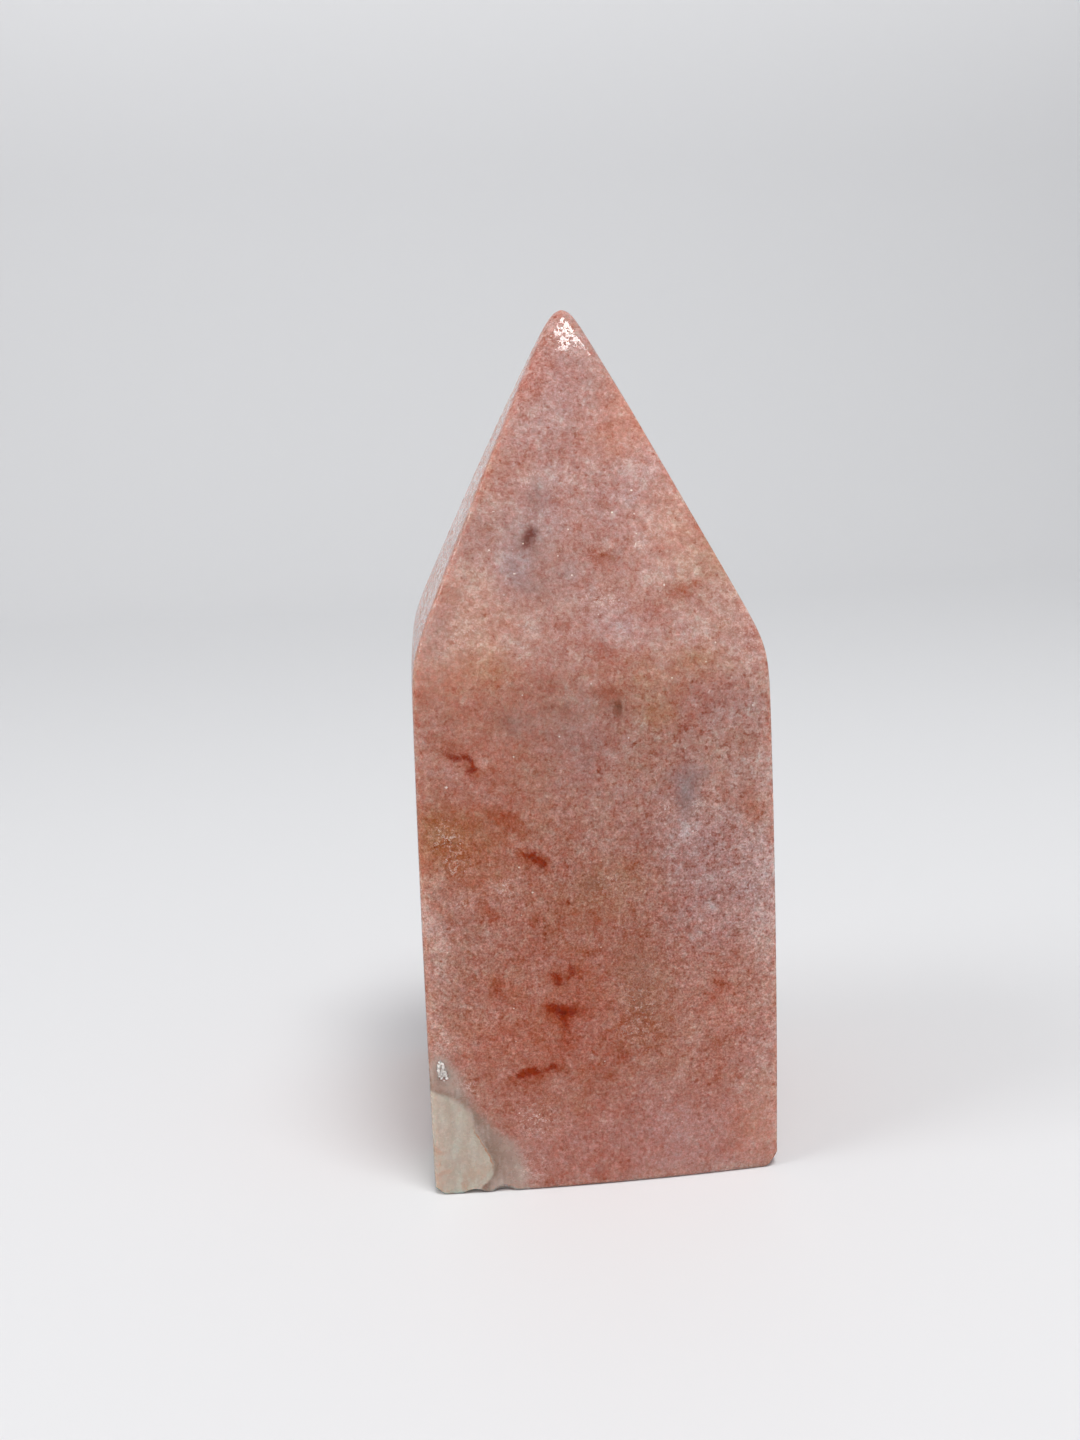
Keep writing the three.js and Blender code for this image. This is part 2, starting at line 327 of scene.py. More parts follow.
direction, z = np.meshgrid(columns, rows)
reach = crossing(lambda r: outside_stone(POINT_X + r * np.cos(direction), POINT_Y + r * np.sin(direction), z),
                 np.zeros_like(z), np.full_like(z, WIDTH))
below = np.maximum(0, FOOT_RADIUS - z)
reach -= FOOT_RADIUS - np.sqrt(FOOT_RADIUS ** 2 - below ** 2)
reach = bitten(reach, POINT_X, POINT_Y, z, direction) - SKIN_INSET
surface = np.stack([POINT_X + reach * np.cos(direction), POINT_Y + reach * np.sin(direction), z], -1)
count = len(columns)
points = np.concatenate([surface.reshape(-1, 3), [(POINT_X, POINT_Y, 0), (POINT_X, POINT_Y, top)]])
base_middle = len(rows) * count
faces = []
for c in range(count):
    after = (c + 1) % count
    for r in range(len(rows) - 1):
        faces.append((r * count + c, r * count + after, (r + 1) * count + after, (r + 1) * count + c))
    last = (len(rows) - 1) * count
    faces.append((base_middle, after, c))
    faces.append((last + c, last + after, base_middle + 1))
mesh = bpy.data.meshes.new("polished_stone")
mesh.from_pydata(points * MM, [], faces)
mesh.shade_smooth()
stone = bpy.data.objects.new("polished_stone", mesh)
scene.collection.objects.link(stone)


# What grew into the stone, and some painted light, in layers on its surface. First soft clouds of colour on
# the front, each with its place from the middle, its height, its half width and half height, all in
# millimetres, and its strength.
CLOUDS = {
    "brick": [(-14, 53.5, 5, 5, 0.35), (-9, 55, 4.5, 4, 0.3),
              (-10, 42, 5, 5, 0.6), (-15, 38.5, 5, 5, 0.45),
              (-3.5, 32, 5, 4, 0.6), (-5, 22, 6.5, 6.5, 0.7),
              (-11, 28, 4, 3, 0.3), (-6.5, 3.5, 3.5, 3, 0.5),
              (13, 22, 6, 4, 0.35), (2.5, 72, 3.5, 3, 0.5),
              (4.5, 84, 2.5, 2.5, 0.3), (-3, 46, 7, 8, 0.1),
              (-3.5, 58, 4.5, 6, 0.5), (3.5, 31, 4.5, 9, 0.35),
              (-5, 17, 8, 7, 0.5), (-15, 19.5, 5, 3.5, 0.2),
              (2, 18, 16, 20, 0.12), (-9, 9, 2, 3, 0.5),
              (1, 22, 3, 4, 0.3), (2, 62.5, 3, 2, 0.3),
              (13.5, 11, 4, 4, 0.25),
              (-8.5, 12, 2.5, 3, 0.3), (2, 27, 5, 4, 0.45),
              (-3, 7, 7, 5, 0.3), (4, 22, 4.5, 5, 0.35),
              (-16.5, 42, 4, 4, 0.3), (10, 6, 6, 4, 0.2)],
    "olive": [(-17, 42.5, 3.4, 3.6, 1.0), (-12.5, 40, 4, 4, 0.45),
              (4.2, 23.5, 3.2, 5.5, 0.75), (11.9, 60.2, 2.5, 1.6, 0.7),
              (-11.4, 60.5, 3, 2.2, 0.5), (0.5, 36, 5, 3, 0.4),
              (2, 50, 5, 5, 0.3), (6, 57, 4, 3, 0.4),
              (6.6, 54.8, 1.8, 1.3, 0.6)],
    "lilac": [(15, 37, 5, 8, 0.5), (9.9, 46.6, 1.5, 2.2, 1.0),
              (5, 75, 7, 9, 0.45), (4, 5, 12, 4, 0.5),
              (10.5, 32, 5, 5, 0.3), (8.5, 7.5, 6.5, 3.5, 0.5),
              (-7.2, 70.8, 2.2, 3.2, 0.9), (-4, 76, 3, 4, 0.6),
              (3.5, 64.5, 5, 3, 0.5), (-1, 88, 4, 4, 0.3),
              (0.5, 51, 5, 4, 0.5), (5, 43, 5, 5, 0.3),
              (11, 39, 4, 5, 0.5), (13.5, 56, 4, 3, 0.5),
              (-2, 84, 5, 6, 0.35), (1, 92, 5, 9, 0.4),
              (6, 2.5, 16, 3.5, 0.4)],
    # Milky clouds are mostly the quartz's own cloudiness. The narrow ones along the upright edges are painted
    # light, the paler glow where light comes through the edges. The broad faint one over the point is painted
    # sheen, which makes the point paler where it faces the light from above.
    "milk": [(-11, 70.5, 4.5, 6, 0.35), (-7.5, 64.8, 6, 2.8, 0.3),
             (3, 83, 4, 7, 0.3), (7, 74, 4, 4.5, 0.15),
             (15.5, 52, 4, 7, 0.2), (19.6, 32, 3.5, 28, 0.6),
             (15, 39, 4, 7, 0.2), (-5.5, 83, 3.5, 5, 0.25),
             (11, 39, 3, 4, 0.3), (-15, 28.5, 3, 3, 0.25),
             (12.5, 71, 2.5, 3, 0.4), (0.5, 49, 3, 3, 0.3),
             (-18.5, 53, 2.5, 3.5, 0.4), (-14.5, 11.5, 1.5, 1.5, 0.5),
             (11, 63.9, 4, 2.6, 0.5), (-3.6, 79.8, 1.3, 1, 1.0),
             (18.5, 33, 2.5, 8, 0.4), (-18.9, 33, 1.8, 5, 0.5),
             (-18.8, 21, 2, 5, 0.5), (18.8, 5, 2.5, 4, 0.4),
             (8, 69.5, 2.2, 1.8, 0.7), (2, 80, 16, 18, 0.1),
             (-5.6, 79.8, 0.9, 0.5, 0.9), (7.5, 44.6, 0.9, 1.3, 0.3),
             (11.6, 44.4, 0.8, 0.8, 0.3)],
    "peach": [(-17, 60.5, 4.5, 4, 0.8), (9.5, 74, 3.4, 5, 0.6),
              (4.5, 84, 3, 3, 0.5), (17.2, 5.5, 3, 4, 0.8),
              (17.3, 44, 2, 2, 0.5), (14, 20, 4, 6, 0.3),
              (-12, 66, 5, 5, 0.4), (2, 4, 14, 6, 0.35),
              (-4, 24, 10, 9, 0.25), (-12, 44, 8, 8, 0.25),
              (-11, 53, 6, 5, 0.4), (-14, 17.5, 7, 5, 0.3),
              (12.5, 46.5, 2.5, 3, 0.3)],
    "smoke": [(9.9, 45.9, 1.2, 1.9, 1.0), (10.4, 47.9, 2.2, 0.9, 0.7),
              (-4, 69, 5, 5, 0.25),
              (9.9, 44, 0.6, 1.6, 0.5), (-7.6, 70.3, 1.4, 2, 0.5),
              (-5.8, 73, 2.2, 3, 0.6),
              (-4.2, 78.3, 1.3, 3.2, 0.6), (-5.8, 68.6, 2, 0.9, 0.5),
              (-1.6, 70.2, 1, 1.6, 0.5), (4, 24, 2.5, 5, 0.35),
              (-2.5, 55, 5, 5, 0.3), (-8.5, 54.5, 1.5, 1.3, 0.4)],
    "umber": [(-0.9, 36.3, 1.1, 0.9, 0.8), (-5.7, 73.4, 1.2, 1.4, 0.6),
              (2.6, 55.7, 0.9, 1.1, 0.5), (3.4, 71.2, 1, 0.9, 0.4),
              (-4.5, 77.6, 0.8, 1, 0.4), (-9.4, 54.6, 1.4, 1.2, 0.4)],
    "rosy": [(-8, 19, 10, 9, 0.8), (-13, 50, 6, 8, 0.5),
             (2, 22, 5, 5, 0.6), (14, 18, 7, 12, 0.6),
             (-12, 37, 7, 6, 0.5), (0, 5, 20, 8, 0.5)],
    "speckled": [(13, 50, 8, 10, 0.9), (16, 38, 6, 10, 0.8),
                 (4, 51, 6, 8, 0.6), (15, 20, 8, 10, 0.5),
                 (0, 35, 10, 6, 0.4), (-10, 20, 8, 6, 0.4),
                 (-10, 50, 8, 6, 0.3)],
    "threaded": [(-16.6, 42.6, 1.7, 1.6, 1.0), (-15.8, 39.6, 1.6, 2, 1.0),
                 (-10.3, 36.2, 1.2, 1.2, 1.0), (-15, 34.9, 1.4, 0.8, 0.8),
                 (7.4, 44.2, 1, 1.3, 1.0), (11.3, 44.4, 1.2, 1, 1.0),
                 (10.4, 41.5, 1, 1, 0.8), (1, 36, 2, 1.5, 0.6),
                 (-13.4, 64.5, 3, 2.5, 0.6), (2, 67, 3.5, 1.5, 0.8),
                 (6.2, 72.5, 1, 1, 0.8), (-5, 79.8, 2.2, 1, 0.7),
                 (-8, 8.8, 2.4, 2.4, 1.0), (-9, 2.2, 2, 1.8, 0.8),
                 (4, 21, 3, 5, 0.7), (-15.6, 13.6, 1.2, 1.6, 0.7)],
}
# Then what is sharper, drawn as strokes on the front: the points of each, with place, height and half
# thickness. These are bodies of haematite, the stains beside them, an inclusion, a pit, the druse and
# painted highlights, single glints of light off tiny crystals.
SPARKLE_SIZE = 0.1
STROKES = {
    "haematite": [
        [(-16.4, 52, 0.1), (-15.4, 51.2, 0.3), (-14.5, 51.2, 0.35), (-13.7, 51.3, 0.3), (-13.3, 50.5, 0.3),
         (-13.1, 50, 0.35), (-14, 49.6, 0.2)],
        [(-8, 40, 0.3), (-7.3, 39.9, 0.45), (-6.6, 39.3, 0.4), (-6.1, 38.9, 0.5)],
        [(-4.9, 27.3, 0.2), (-4.6, 27, 0.1)],
        [(-5.7, 26.2, 0.3), (-5.1, 25.8, 0.45), (-4.9, 25.1, 0.5), (-4.5, 24.8, 0.25)],
        [(-3.5, 26.7, 0.3), (-3.4, 26.2, 0.35), (-3.9, 25.5, 0.2)],
        [(-6.5, 22.4, 0.25), (-5.6, 22.1, 0.65), (-4.6, 21.4, 0.85), (-3.4, 21.6, 0.55), (-2.7, 21.7, 0.1)],
        [(-4.6, 21, 0.6), (-4.45, 20.3, 0.25), (-4.3, 19.7, 0.05)],
        [(-4.3, 17.9, 0.25), (-4.1, 17.4, 0.1)],
        [(-10.1, 14.1, 0.25), (-9.1, 14.5, 0.6), (-8.2, 14.7, 0.5), (-7.4, 14.4, 0.25)],
        [(-6.7, 14.8, 0.35), (-5.9, 15.1, 0.35), (-5.3, 15.2, 0.15)],
    ],
    "stain": [
        [(-17.7, 53.7, 0.2), (-16.6, 52.8, 0.6), (-15.6, 52.2, 0.7), (-14, 51, 0.6)],
        [(-13.2, 49.6, 0.5), (-12.8, 48.8, 0.2)],
        [(-11.3, 44.7, 0.6), (-10, 44.2, 0.9), (-8.9, 43.4, 0.6), (-8.1, 42.3, 0.3)],
        [(-8.4, 40, 0.5), (-6.4, 39, 0.7)],
        [(-5.3, 25.8, 0.6), (-3.6, 26.2, 0.5), (-2.2, 26.3, 0.1)],
        [(-6.3, 22.2, 0.6), (-4.6, 21.2, 1.1), (-2.8, 21.6, 0.4)],
        [(-4.4, 20.2, 0.3), (-4.2, 17.4, 0.15)],
        [(-10.5, 13.6, 0.5), (-8.6, 14, 0.8), (-5.4, 14.9, 0.4)],
        [(-11.9, 25.3, 0.4), (-11.8, 24.7, 0.3)],
        [(1.8, 16.2, 0.3), (1.7, 15.4, 0.5)], [(-13.1, 34.2, 0.3), (-12, 33.6, 0.4)],
        [(1.2, 71.3, 0.3), (3.2, 71.2, 0.4)], [(9.3, 67.8, 0.5), (10.4, 67.2, 0.6)],
        [(17.2, 44, 0.4), (17.9, 42.7, 0.4)], [(-15.6, 68.6, 0.2), (-15.4, 67.8, 0.3)],
        [(-19.2, 14.6, 0.3), (-19.1, 13.8, 0.35)], [(2.5, 56.8, 0.2), (0.5, 57.8, 0.3)],
        [(1.7, 19.9, 0.35)], [(12.9, 16.1, 0.45)], [(13.4, 23.2, 0.35)], [(-7.5, 32.4, 0.4)],
        [(3.2, 76.9, 0.4)], [(4.5, 85, 0.4)], [(12.3, 68, 0.4)], [(19.4, 39.7, 0.3)],
    ],
    "inclusion": [[(-5.2, 74.4, 0.45), (-5.5, 73.9, 0.4), (-6.1, 73.1, 0.2)]],
    "vug": [[(2.7, 56.2, 0.35), (2.5, 55.3, 0.5)]],
    "druse": [[(-18.6, 16.2, 0.25), (-18.5, 15.3, 0.42), (-18.25, 14.3, 0.25)]],
    "sparkle": [[(along, height, SPARKLE_SIZE)] for along, height in (  # painted highlights, glints of light off single tiny crystals
        (4.4, 84.2), (6.1, 78.4), (-7.5, 70.2), (-4.8, 69.2), (-9.3, 76.8), (6, 72.4), (6.3, 72.9),
        (3.6, 66.9), (-6.2, 43.0), (7.4, 44.2), (11.3, 44.4), (10.4, 41.5), (-10.6, 36.7), (-9.8, 35.6),
        (-11.2, 37.7), (-7.4, 35.7), (-1.1, 38.7), (-5.5, 34.4), (-16.2, 48.0), (4.5, 61.6), (6.5, 61.6))],
}
BY_HEIGHT = {  # how strong some of the mottling is, as heights in millimetres, each with a strength
    "clumpy": [(0, 0.6), (9, 0.65), (20, 1.0)],
    "sugary": [(0, 0.4), (10, 0.6), (18, 1.0), (40, 1.0), (50, 0.5), (60, 0.3), (95, 0.4)],
}

# The grey quartz in the corner: how far right it reaches and where its milky part ends, each by height.
QUARTZ_EDGE = [(0, -9.4), (2.3, -9.1), (4.6, -9.9), (6.2, -10.4), (7.1, -11.8), (9.1, -13.6), (10.8, -15.0),
               (13, -15.9), (15, -16.5), (16.6, -17.6), (18, -20.0)]
QUARTZ_SEAM = [(0, -15.5), (1, -14.6), (2, -13.6), (3.3, -13.3), (4.6, -13.7), (5.7, -14.3),
               (7.6, -15.1), (9.7, -15.4), (11.3, -16.6), (12.4, -18.2), (13.2, -21.0)]
QUARTZ_BACK = -8.0  # how far back it reaches at the foot
QUARTZ_RISE = 0.62  # and how much less with each millimetre of height
SEAM_SLANT = 0.3  # how far the seam moves with each millimetre to the back
EDGE_SQUARE, BACK_SQUARE = 0.75, 0.7  # turn a distance across into the shorter one square to a slanting edge
FAR_OFF = 5.0  # distances beyond this make no difference
SHORTEST_RUN = 1e-6  # a stroke of a single point has no length to divide by

# The hidden sides get clouds and bodies of haematite of the same kinds, at places drawn by lot.
HIDDEN_SIDES = ("right", "back", "left")
HIDDEN_SEED = 7
HIDDEN_CLOUDS = {  # how many on each side, and how strong at most
    "brick": (8, 0.6), "olive": (4, 0.8), "lilac": (7, 0.7), "milk": (6, 0.6), "peach": (5, 0.6),
    "smoke": (3, 0.6), "speckled": (6, 0.9), "threaded": (4, 0.9), "rosy": (5, 0.8)}
CLOUD_TOP = 95
CLOUD_REACH = 18  # how far from the middle of a side, less on the point
NARROWS_OVER = 40  # the height over which a side narrows to nothing
CLOUD_SIZES = (2.5, 6.5)
CLOUD_SHARES = (0.5, 1.0)  # of the most strength
BODIES_EACH = 7
BODY_REACH = 15
BODY_HEIGHTS = (6, 62)
BODY_POINTS = (2, 5)
BODY_THICKNESSES = (0.25, 0.7)
BODY_STEP = 1.4  # how far apart its points are at most
STAIN_MARGIN = 0.4

all_clouds = {kind: [("front", *cloud) for cloud in clouds] for kind, clouds in CLOUDS.items()}
all_strokes = {kind: [("front", stroke) for stroke in strokes] for kind, strokes in STROKES.items()}
hidden = np.random.default_rng(HIDDEN_SEED)
for side in HIDDEN_SIDES:
    for kind, (number, strength) in HIDDEN_CLOUDS.items():
        for _ in range(number):
            height = hidden.uniform(0, CLOUD_TOP)
            narrowing = 1 if height < SHOULDER_HEIGHT else (POINT_HEIGHT - height) / NARROWS_OVER
            along = hidden.uniform(-CLOUD_REACH * narrowing, CLOUD_REACH * narrowing)
            wide, tall = hidden.uniform(*CLOUD_SIZES, 2)
            share = hidden.uniform(*CLOUD_SHARES)
            all_clouds[kind].append((side, along, height, wide, tall, strength * share))
    for _ in range(BODIES_EACH):
        along, height = hidden.uniform(-BODY_REACH, BODY_REACH), hidden.uniform(*BODY_HEIGHTS)
        stroke = []
        for _ in range(hidden.integers(*BODY_POINTS)):
            stroke.append((along, height, hidden.uniform(*BODY_THICKNESSES)))
            along += hidden.uniform(-BODY_STEP, BODY_STEP)
            height += hidden.uniform(-BODY_STEP, BODY_STEP)
        all_strokes["haematite"].append((side, stroke))
        all_strokes["stain"].append((side, [(*where, thick + STAIN_MARGIN) for *where, thick in stroke]))


def cloud_cover(clouds):
    """How deep each point of the stone lies in the clouds of one kind, from 0 to 1."""
    cover = np.zeros(len(points))
    for side, along, height, wide, tall, strength in clouds:
        middle = on_side(side, along, height)
        flat = np.hypot(points[:, 0] - middle[0], points[:, 1] - middle[1])
        away = (flat / wide) ** 2 + ((points[:, 2] - middle[2]) / tall) ** 2
        cover = 1 - (1 - cover) * (1 - strength * np.exp(-away))
    return cover


def outside_strokes(strokes):
    """How far, in millimetres, each point is outside the nearest stroke. Inside, it is negative."""
    nearest = np.full(len(points), FAR_OFF)
    for side, stroke in strokes:
        marks = [(on_side(side, along, height), thick) for along, height, thick in stroke]
        for (start, thin), (stop, thick) in zip(marks, marks[1:] or marks):
            run = stop - start
            share = np.clip(((points - start) @ run) / max(run @ run, SHORTEST_RUN), 0, 1)
            away = np.linalg.norm(points - start - share[:, None] * run, axis=1)
            nearest = np.minimum(nearest, away - (thin + (thick - thin) * share))
    return nearest


left_of_edge = np.interp(points[:, 2], *zip(*QUARTZ_EDGE)) - points[:, 0]
before_back = (QUARTZ_BACK - points[:, 1]) - QUARTZ_RISE * points[:, 2]
into_quartz = np.minimum(left_of_edge * EDGE_SQUARE, before_back * BACK_SQUARE)
right_of_seam = points[:, 0] - np.interp(points[:, 2], *zip(*QUARTZ_SEAM))
layers = {kind: cloud_cover(clouds) for kind, clouds in all_clouds.items()}
layers.update({kind: outside_strokes(strokes) for kind, strokes in all_strokes.items()})
layers.update({kind: np.interp(points[:, 2], *zip(*steps)) for kind, steps in BY_HEIGHT.items()})
layers["quartz"] = np.clip(into_quartz, -FAR_OFF, FAR_OFF)
layers["past_seam"] = right_of_seam + SEAM_SLANT * (points[:, 1] + DEPTH / 2)
for name, values in layers.items():
    mesh.attributes.new(name, "FLOAT", "POINT").data.foreach_set("value", values)


# Polished pink amethyst: quartz grown milky by countless tiny flaws and stained by iron. Light sinks a few
# millimetres into it, so its edges glow a little, while the polish on top stays as clear as on glass.
FACTOR, FROM, TO, MIXED = 0, 6, 7, 2  # the colour sockets of a mix node
RUST_STEPS = (0, 0.25, 0.5, 0.75, 1.0)
SALMON = ("#E0CAC4", "#CBA297", "#B97E6E", "#AB5B42", "#993912")
LILAC = ("#D7CBD1", "#C4A3A3", "#B38079", "#A75D4E", "#963C22")
OLIVE = ("#DECCB5", "#C9A489", "#B6805F", "#A85E32", "#953D00")
HAEMATITE = ("#B04410", "#7C1A04")  # near its rim, and deep inside
PEACH = "#DC9272"
SMOKE = "#A28A86"
UMBER = "#945C48"
RED_SHIFT = (0.24, -0.17, -0.14)  # how red, green and blue change together where it is redder but no darker
INCLUSION = "#7C4034"
VUG = "#94563E"
MILKY_QUARTZ = ("#D4CCBE", "#CBBAAB")
PEACH_QUARTZ = "#D0A890"
CLEAR_QUARTZ = ("#A58C7D", "#C4A99D")  # beside the seam, and farther out
QUARTZ_VEIL = "#D9C6BE"
QUARTZ_SEAM_TONE = "#C98A66"
# A white for pale crystals and fibres, and for painted highlights.
GLINT = "#FFF6EE"
STONE_IOR = 1.55

stone_finish, tree, output = new_material("polished_pink_amethyst")
node = functools.partial(add, tree)
metres = node("ShaderNodeTexCoord").outputs["Object"]
place = node("ShaderNodeVectorMath", {0: metres, "Scale": 1000.0}, operation="SCALE").outputs[0]
height = node("ShaderNodeSeparateXYZ", {"Vector": place}).outputs["Z"]
layer = {name: node("ShaderNodeAttribute", attribute_name=name).outputs["Fac"] for name in layers}

# The mottling, from clouds some millimetres across through clumps to the grain of the stone. Each noise gives
# three values that have nothing to do with each other, and its colour holds all three.
MOTTLING = {  # cells per millimetre, octaves, how strong the finer ones are, and how much they swirl
    "clouds": (0.17, 2, 0.7, 0.0),
    "clumps": (0.72, 1.5, 0.8, 0.5),
    "specks": (1.8, 1.5, 0.7, 0.2),
    "fibres": (1.9, 2, 0.9, 1.5),
    "grain": (2.3, 2, 0.9, 0.2),
    "sugar": (4.3, 1, 0.8, 0.0),
    "ragged": (1.7, 4, 0.7, 0.5),
}
channels = {}
for name, (scale, octaves, roughness, swirl) in MOTTLING.items():
    noise = node("ShaderNodeTexNoise", {"Vector": place, "Scale": scale, "Detail": octaves,
                                        "Roughness": roughness, "Distortion": swirl})
    split = node("ShaderNodeSeparateColor", {"Color": noise.outputs["Color"]})
    channels[name] = (noise.outputs[0], split.outputs["Green"], split.outputs["Blue"], noise.outputs["Color"])
NOISE_MIDDLE = 0.5
centred = {}  # some of the values, moved to lie about nothing
for name, channel in (("clumps", 0), ("sugar", 0), ("ragged", 0), ("fibres", 1), ("specks", 2)):
    centred[name] = node("ShaderNodeMath", {0: channels[name][channel], 1: -NOISE_MIDDLE}).outputs[0]

# Fibres above the shoulder, a rounder grain towards the foot.
FIBRE_HEIGHTS = (25, 62)
FIBRE_SHARES = (0.2, 0.8)
fibrous = node("ShaderNodeMapRange", {
    "Value": height, "From Min": FIBRE_HEIGHTS[0], "From Max": FIBRE_HEIGHTS[1],
    "To Min": FIBRE_SHARES[0], "To Max": FIBRE_SHARES[1]}, interpolation_type="SMOOTHSTEP").outputs[0]
fine = node("ShaderNodeMix", {0: fibrous, 2: channels["grain"][0], 3: channels["fibres"][0]}).outputs[0]

# Rust-red freckles: one small soft dot in some of the cells, which are a millimetre or so across. The glints
# are painted highlights: white dots, rarer and smaller, where tiny crystal faces would catch the light.
DOT_EDGE = (1.1, 0.5)  # in shares of its size, from where it begins to where it is full
swirled = node("ShaderNodeVectorMath", {0: place, 1: channels["ragged"][3]}, operation="ADD").outputs[0]
dots = {}
for name, where, scale, rarity, smallest, largest in (("freckle", swirled, 1.05, 0.6, 0.14, 0.32),
                                                      ("painted_glint", place, 0.8, 0.84, 0.05, 0.11)):
    cells = node("ShaderNodeTexVoronoi", {"Vector": where, "Scale": scale})
    chance = node("ShaderNodeSeparateColor", {"Color": cells.outputs["Color"]}).outputs["Red"]
    size = node("ShaderNodeMapRange", {"Value": chance, "From Min": rarity, "To Min": smallest,
                                       "To Max": largest}, clamp=False).outputs[0]
    chosen = node("ShaderNodeMath", {0: chance, 1: rarity}, operation="GREATER_THAN").outputs[0]
    inside = node("ShaderNodeMath", {0: cells.outputs["Distance"], 1: size}, operation="DIVIDE").outputs[0]
    dot = node("ShaderNodeMapRange", {"Value": inside, "From Min": DOT_EDGE[0], "From Max": DOT_EDGE[1]},
               interpolation_type="SMOOTHSTEP").outputs[0]
    dots[name] = node("ShaderNodeMath", {0: dot, 1: chosen}, operation="MULTIPLY").outputs[0]

# Specks: where one of the noises is high, crisp rusty islands half a millimetre across.
SPECK_EDGE = (0.55, 0.64)
specks = node("ShaderNodeMapRange", {
    "Value": channels["specks"][0], "From Min": SPECK_EDGE[0], "From Max": SPECK_EDGE[1]},
    interpolation_type="SMOOTHSTEP").outputs[0]
speckle = node("ShaderNodeMath", {0: specks, 1: layer["speckled"]}, operation="MULTIPLY").outputs[0]

# Threads: thin white lines where another of the noises passes its middle, broken up by one more. They are
# partly pale fibres in the stone and partly painted highlights, tiny glitter.
THREAD_EDGE = (0.04, 0.01)
THREAD_BREAK = (0.5, 0.56)
from_line = node("ShaderNodeMath", {0: centred["fibres"]}, operation="ABSOLUTE").outputs[0]
threads_and_glitter = node("ShaderNodeMapRange", {
    "Value": from_line, "From Min": THREAD_EDGE[0], "From Max": THREAD_EDGE[1]}).outputs[0]
unbroken = node("ShaderNodeMapRange", {
    "Value": channels["specks"][2], "From Min": THREAD_BREAK[0], "From Max": THREAD_BREAK[1]}).outputs[0]
threads_and_glitter = node("ShaderNodeMath", {0: threads_and_glitter, 1: unbroken}, operation="MULTIPLY").outputs[0]
threads_and_glitter = node("ShaderNodeMath", {0: threads_and_glitter, 1: layer["threaded"]}, operation="MULTIPLY").outputs[0]

# Strokes get ragged edges from the noise. Each has how far its edge wanders and between which distances from
# it the cover grows from nothing to the most, in millimetres.
covers = {}
for name, wander, inside, outside, most in (
        ("haematite", 1.2, -0.3, 0.2, 1.0), ("stain", 1.2, -0.4, 0.9, 0.8),
        ("inclusion", 0.8, -0.3, 0.7, 1.0), ("vug", 0.6, -0.15, 0.15, 1.0),
        ("druse", 1.2, -0.15, 0.15, 1.0), ("sparkle", 0.25, 0.02, 0.14, 0.9)):
    edge = node("ShaderNodeMath", {0: centred["ragged"], 1: wander, 2: layer[name]},
                operation="MULTIPLY_ADD").outputs[0]
    covers[name] = node("ShaderNodeMapRange", {"Value": edge, "From Min": outside, "From Max": inside,
                                               "To Max": most}, interpolation_type="SMOOTHSTEP").outputs[0]

# How rusty and how yellow each spot is, as sums that start below nothing, and the colours that follow.
RUST_START = -0.365
YELLOW_START = -0.42
uneven = node("ShaderNodeMath", {0: centred["clumps"], 1: layer["clumpy"]}, operation="MULTIPLY").outputs[0]
sugar = node("ShaderNodeMath", {0: centred["sugar"], 1: layer["sugary"]}, operation="MULTIPLY").outputs[0]
rust = RUST_START
for source, weight in ((channels["clouds"][0], 0.5), (uneven, 0.62), (fine, 1.0), (specks, 0.05),
                       (sugar, -0.36), (speckle, 0.18), (dots["freckle"], 0.2), (layer["brick"], 0.22),
                       (layer["olive"], 0.10), (layer["milk"], -0.28), (layer["peach"], -0.05),
                       (layer["lilac"], -0.05), (covers["stain"], 0.26)):
    rust = node("ShaderNodeMath", {0: source, 1: weight, 2: rust}, operation="MULTIPLY_ADD").outputs[0]
yellow = YELLOW_START
for source, weight in ((channels["clouds"][1], 0.9), (channels["clumps"][1], 0.8), (fine, -0.6),
                       (layer["olive"], 0.9), (layer["lilac"], -1.0), (layer["peach"], 0.15)):
    yellow = node("ShaderNodeMath", {0: source, 1: weight, 2: yellow}, operation="MULTIPLY_ADD").outputs[0]
ramps = []
for tones in (SALMON, LILAC, OLIVE):
    ramp = node("ShaderNodeValToRGB", {"Fac": rust})
    ramp.color_ramp.elements[0].color = linear(tones[0])
    ramp.color_ramp.elements[1].color = linear(tones[-1])
    for step, tone in zip(RUST_STEPS[1:-1], tones[1:-1]):
        ramp.color_ramp.elements.new(step).color = linear(tone)
    ramps.append(ramp.outputs["Color"])
colour = ramps[0]
for other, way in ((ramps[1], -1.0), (ramps[2], 1.0)):
    share = node("ShaderNodeMath", {0: yellow, 1: way}, operation="MULTIPLY", use_clamp=True).outputs[0]
    colour = node("ShaderNodeMix", {FACTOR: share, FROM: colour, TO: other}, data_type="RGBA").outputs[MIXED]
for cover, most, tone in ((layer["peach"], 0.4, PEACH), (layer["smoke"], 0.8, SMOKE),
                          (layer["umber"], 0.8, UMBER), (covers["inclusion"], 0.9, INCLUSION),
                          (covers["vug"], 0.85, VUG)):
    share = node("ShaderNodeMath", {0: cover, 1: most}, operation="MULTIPLY").outputs[0]
    colour = node("ShaderNodeMix", {FACTOR: share, FROM: colour, TO: linear(tone)},
                  data_type="RGBA").outputs[MIXED]

